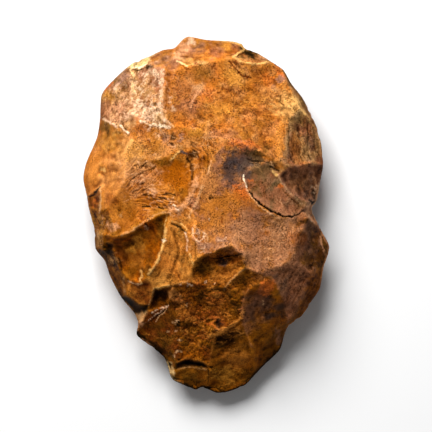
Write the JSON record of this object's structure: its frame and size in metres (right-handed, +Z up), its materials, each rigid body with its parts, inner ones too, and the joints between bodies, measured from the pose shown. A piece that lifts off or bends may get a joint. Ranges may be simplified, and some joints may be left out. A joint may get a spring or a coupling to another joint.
{
  "type": "stone hand axe",
  "caption": "Knapped flint hand axe, broad at one end and narrowing to the other, flaked on both faces, lying on its flatter side.",
  "frame": {"origin": "on the ground, under the middle of the stone's outline seen from above", "axes": "+Y along the stone from its narrow end to its broad end, +Z up out of its more worked face, +X to the right across it"},
  "size_m": [0.093, 0.135, 0.0444],
  "materials": {
    "patinated_flint": "patinated, dull waxy gloss"
  },
  "bodies": {
    "root": {"hand_axe": "patinated_flint"}
  },
  "joints": []
}
